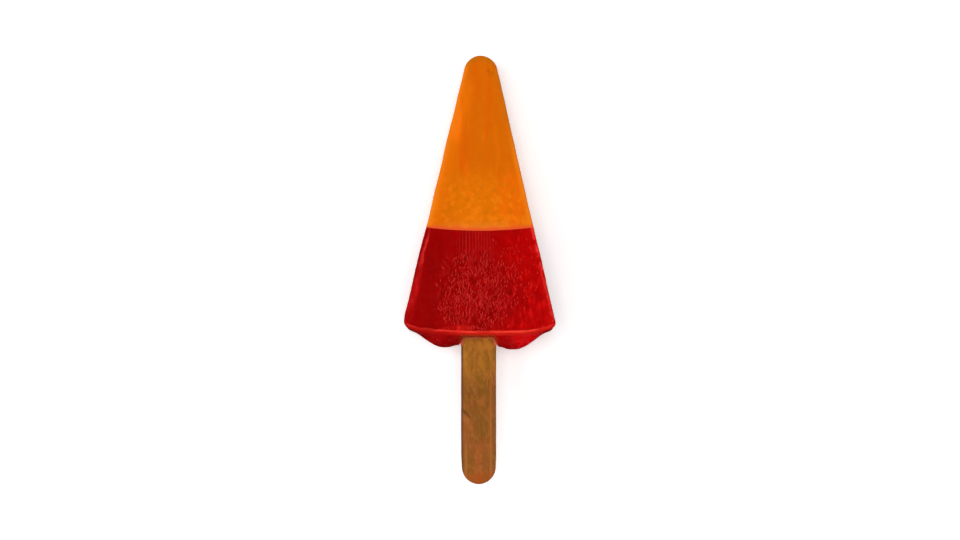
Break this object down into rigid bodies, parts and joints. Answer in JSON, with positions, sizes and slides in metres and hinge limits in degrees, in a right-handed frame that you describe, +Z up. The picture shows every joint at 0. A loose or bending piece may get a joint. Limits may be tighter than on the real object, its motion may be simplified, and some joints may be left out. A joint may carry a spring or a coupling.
{
  "type": "ice lolly",
  "caption": "Wedge-shaped ice lolly, orange at its rounded tip and red at its wide base, on a flat wooden stick, lying on its back face.",
  "frame": {"origin": "middle of the bounding box's bottom, on the surface that the back face lies on", "axes": "+Y towards the ice's rounded tip, +X across the face, +Z up out of the shown face; the stick points along -Y"},
  "size_m": [0.0432, 0.1228, 0.0209],
  "materials": {
    "orange_ice": "smooth frozen water ice, slightly wet",
    "red_ice": "smooth frozen water ice with fine frost, slightly wet",
    "stick_wood": "plain unvarnished birch, stained near the ice"
  },
  "bodies": {
    "root": {"orange_ice": "orange_ice", "red_ice": "red_ice", "stick": "stick_wood"}
  },
  "joints": []
}
